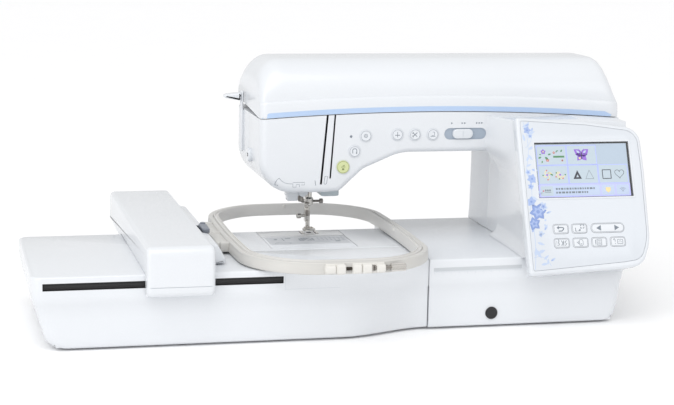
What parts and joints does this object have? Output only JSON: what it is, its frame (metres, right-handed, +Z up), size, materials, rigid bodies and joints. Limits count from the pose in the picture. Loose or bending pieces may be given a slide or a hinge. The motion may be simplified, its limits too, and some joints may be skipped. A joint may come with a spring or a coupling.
{
  "type": "sewing machine",
  "caption": "Computerised sewing and embroidery machine: white arm and bed, tilted control panel, embroidery unit with moving carriage, oblong hoop and hinged top cover",
  "frame": {"origin": "centre of the whole footprint on the table top (embroidery unit, hoop and handwheel included)", "axes": "+X to the operator's right along the arm, +Y away from the operator, +Z up"},
  "size_m": [0.729, 0.401, 0.2996],
  "materials": {
    "white_casing": "gloss",
    "panel_white": "gloss",
    "button_grey": "satin",
    "start_green": "gloss",
    "blue_trim": "gloss",
    "hoop_resin": "satin",
    "black_plastic": "satin",
    "dark_grey_plastic": "satin",
    "lamp_grey": "satin",
    "screen_glass": "gloss",
    "rubber": "matte",
    "cast_frame": "cast",
    "bright_steel": "bright",
    "motor_steel": "satin"
  },
  "bodies": {
    "machine": {"base_shell": "white_casing", "bobbin_cover": "white_casing", "bottom_plates": "white_casing", "drive_belt": "rubber", "frame_casting": "cast_frame", "front_casing": "white_casing", "knee_lift_socket": "black_plastic", "lamp_housing": "lamp_grey", "lcd_screen": "screen_glass", "motor": "motor_steel", "needle_plate": "bright_steel", "panel_fascia": "panel_white", "panel_housing": "white_casing", "port_panel": "black_plastic", "rear_casing": "white_casing", "rubber_feet": "rubber", "slot_seal": "black_plastic", "spool_pin": "lamp_grey", "thread_cutter": "white_casing", "unit_rail": "bright_steel", "unit_shell": "white_casing"},
    "top_cover": {"top_cover": "white_casing", "accent_stripe": "blue_trim"},
    "drive_shaft": {"handwheel": "white_casing", "main_shaft": "bright_steel"},
    "rotary_hook": {"rotary_hook": "black_plastic"},
    "bobbin": {"bobbin": "lamp_grey"},
    "needle_bar": {"needle_bar": "bright_steel", "needle": "bright_steel"},
    "take_up_lever": {"take_up_lever": "bright_steel"},
    "presser_bar": {"presser_bar": "bright_steel", "embroidery_foot": "bright_steel"},
    "presser_lever": {"presser_lever": "white_casing"},
    "needle_threader": {"needle_threader": "white_casing"},
    "threader_lever": {"threader_lever": "white_casing"},
    "feed_dog": {"feed_dog": "bright_steel"},
    "start_stop_button": {"start_stop_button": "start_green"},
    "reverse_button": {"reverse_button": "button_grey"},
    "reinforcement_button": {"reinforcement_button": "button_grey"},
    "needle_position_button": {"needle_position_button": "button_grey"},
    "thread_cutter_button": {"thread_cutter_button": "button_grey"},
    "presser_foot_button": {"presser_foot_button": "button_grey"},
    "speed_slider": {"speed_slider": "button_grey"},
    "key_back": {"key_back": "button_grey"},
    "key_layout": {"key_layout": "button_grey"},
    "key_arrows": {"key_arrows": "button_grey"},
    "key_stitches": {"key_stitches": "button_grey"},
    "key_hoop": {"key_hoop": "button_grey"},
    "key_pages": {"key_pages": "button_grey"},
    "key_help": {"key_help": "button_grey"},
    "power_switch": {"power_switch": "black_plastic"},
    "bobbin_winder": {"bobbin_winder": "white_casing"},
    "carry_handle": {"carry_handle": "white_casing"},
    "carriage": {"carriage_cover": "white_casing", "carriage_guides": "bright_steel"},
    "frame_holder": {"frame_holder": "white_casing", "hoop_outer": "hoop_resin", "hoop_inner": "hoop_resin"},
    "holder_lever": {"holder_lever": "dark_grey_plastic"},
    "hoop_screw": {"hoop_screw": "bright_steel"}
  },
  "joints": [
    {"name": "top_cover_hinge", "type": "hinge", "parent": "machine", "child": "top_cover", "pos_m": [0.1295, 0.116, 0.2442], "axis": [-1, 0, 0], "range_deg": [0, 75]},
    {"name": "handwheel_turn", "type": "hinge", "parent": "machine", "child": "drive_shaft", "pos_m": [0.1445, 0.0655, 0.21], "axis": [1, 0, 0], "continuous": true},
    {"name": "hook_turn", "type": "hinge", "parent": "machine", "child": "rotary_hook", "pos_m": [-0.0155, 0.0235, 0.06], "axis": [0, 0, 1], "continuous": true},
    {"name": "bobbin_turn", "type": "hinge", "parent": "machine", "child": "bobbin", "pos_m": [-0.0155, 0.0235, 0.062], "axis": [0, 0, 1], "continuous": true},
    {"name": "needle_bar_stroke", "type": "slide", "parent": "machine", "child": "needle_bar", "axis": [0, 0, 1], "range_m": [-0.028, 0.002]},
    {"name": "take_up_swing", "type": "hinge", "parent": "machine", "child": "take_up_lever", "pos_m": [-0.008, 0.0355, 0.205], "axis": [-1, 0, 0], "range_deg": [-26, 3]},
    {"name": "presser_lever_turn", "type": "hinge", "parent": "machine", "child": "presser_lever", "pos_m": [-0.0035, 0.1255, 0.2], "axis": [0, 1, 0], "range_deg": [0, 72]},
    {"name": "presser_bar_lift", "type": "slide", "parent": "machine", "child": "presser_bar", "axis": [0, 0, 1], "range_m": [0, 0.008]},
    {"name": "threader_lever_press", "type": "slide", "parent": "machine", "child": "threader_lever", "axis": [0, 0, 1], "range_m": [-0.06, 0], "stiffness_N_per_m": 30, "springref_m": 0.02},
    {"name": "needle_threader_drop", "type": "slide", "parent": "machine", "child": "needle_threader", "axis": [0, 0, 1], "range_m": [-0.018, 0]},
    {"name": "feed_dog_drop", "type": "slide", "parent": "machine", "child": "feed_dog", "axis": [0, 0, 1], "range_m": [-0.003, 0]},
    {"name": "start_stop_button_press", "type": "slide", "parent": "machine", "child": "start_stop_button", "axis": [0, 1, 0], "range_m": [0, 0.0008], "stiffness_N_per_m": 400, "springref_m": -0.0005},
    {"name": "reverse_button_press", "type": "slide", "parent": "machine", "child": "reverse_button", "axis": [0, 1, 0], "range_m": [0, 0.0008], "stiffness_N_per_m": 400, "springref_m": -0.0005},
    {"name": "reinforcement_button_press", "type": "slide", "parent": "machine", "child": "reinforcement_button", "axis": [0, 1, 0], "range_m": [0, 0.0008], "stiffness_N_per_m": 400, "springref_m": -0.0005},
    {"name": "needle_position_button_press", "type": "slide", "parent": "machine", "child": "needle_position_button", "axis": [0, 1, 0], "range_m": [0, 0.0008], "stiffness_N_per_m": 400, "springref_m": -0.0005},
    {"name": "thread_cutter_button_press", "type": "slide", "parent": "machine", "child": "thread_cutter_button", "axis": [0, 1, 0], "range_m": [0, 0.0008], "stiffness_N_per_m": 400, "springref_m": -0.0005},
    {"name": "presser_foot_button_press", "type": "slide", "parent": "machine", "child": "presser_foot_button", "axis": [0, 1, 0], "range_m": [0, 0.0008], "stiffness_N_per_m": 400, "springref_m": -0.0005},
    {"name": "speed_slider_slide", "type": "slide", "parent": "machine", "child": "speed_slider", "axis": [1, 0, 0], "range_m": [-0.009, 0.016]},
    {"name": "key_back_press", "type": "slide", "parent": "machine", "child": "key_back", "axis": [0, 0.9252, -0.3795], "range_m": [0, 0.0005], "stiffness_N_per_m": 400, "springref_m": -0.0005},
    {"name": "key_layout_press", "type": "slide", "parent": "machine", "child": "key_layout", "axis": [0, 0.9252, -0.3795], "range_m": [0, 0.0005], "stiffness_N_per_m": 400, "springref_m": -0.0005},
    {"name": "key_stitches_press", "type": "slide", "parent": "machine", "child": "key_stitches", "axis": [0, 0.9252, -0.3795], "range_m": [0, 0.0005], "stiffness_N_per_m": 400, "springref_m": -0.0005},
    {"name": "key_hoop_press", "type": "slide", "parent": "machine", "child": "key_hoop", "axis": [0, 0.9252, -0.3795], "range_m": [0, 0.0005], "stiffness_N_per_m": 400, "springref_m": -0.0005},
    {"name": "key_pages_press", "type": "slide", "parent": "machine", "child": "key_pages", "axis": [0, 0.9252, -0.3795], "range_m": [0, 0.0005], "stiffness_N_per_m": 400, "springref_m": -0.0005},
    {"name": "key_help_press", "type": "slide", "parent": "machine", "child": "key_help", "axis": [0, 0.9252, -0.3795], "range_m": [0, 0.0005], "stiffness_N_per_m": 400, "springref_m": -0.0005},
    {"name": "key_arrows_rock", "type": "hinge", "parent": "machine", "child": "key_arrows", "pos_m": [0.2977, -0.13354, 0.11428], "axis": [0, 0.3795, 0.9252], "range_deg": [-1.2, 1.2], "stiffness_Nm_per_rad": 0.08},
    {"name": "power_switch_rock", "type": "hinge", "parent": "machine", "child": "power_switch", "pos_m": [0.3125, 0.0635, 0.039], "axis": [0, 1, 0], "range_deg": [0, 12]},
    {"name": "bobbin_winder_engage", "type": "slide", "parent": "machine", "child": "bobbin_winder", "axis": [1, 0, 0], "range_m": [0, 0.006]},
    {"name": "carry_handle_swing", "type": "hinge", "parent": "machine", "child": "carry_handle", "pos_m": [0.1245, 0.1275, 0.226], "axis": [1, 0, 0], "range_deg": [0, 90]},
    {"name": "carriage_travel", "type": "slide", "parent": "machine", "child": "carriage", "axis": [1, 0, 0], "range_m": [-0.066, 0.084]},
    {"name": "frame_holder_travel", "type": "slide", "parent": "carriage", "child": "frame_holder", "axis": [0, 1, 0], "range_m": [-0.06, 0.184]},
    {"name": "holder_lever_turn", "type": "hinge", "parent": "frame_holder", "child": "holder_lever", "pos_m": [-0.1575, -0.0155, 0.109], "axis": [0, 0, 1], "range_deg": [0, 40]},
    {"name": "hoop_screw_turn", "type": "hinge", "parent": "frame_holder", "child": "hoop_screw", "pos_m": [-0.0155, -0.1957, 0.0902], "axis": [1, 0, 0], "continuous": true}
  ],
  "couplings": [
    {"joint": "hook_turn", "follows": "handwheel_turn", "ratio": 2},
    {"joint": "take_up_swing", "follows": "needle_bar_stroke", "rad_per_m": 15.5},
    {"joint": "presser_lever_turn", "follows": "presser_bar_lift", "rad_per_m": 152},
    {"joint": "needle_threader_drop", "follows": "threader_lever_press", "ratio": 0.3}
  ]
}
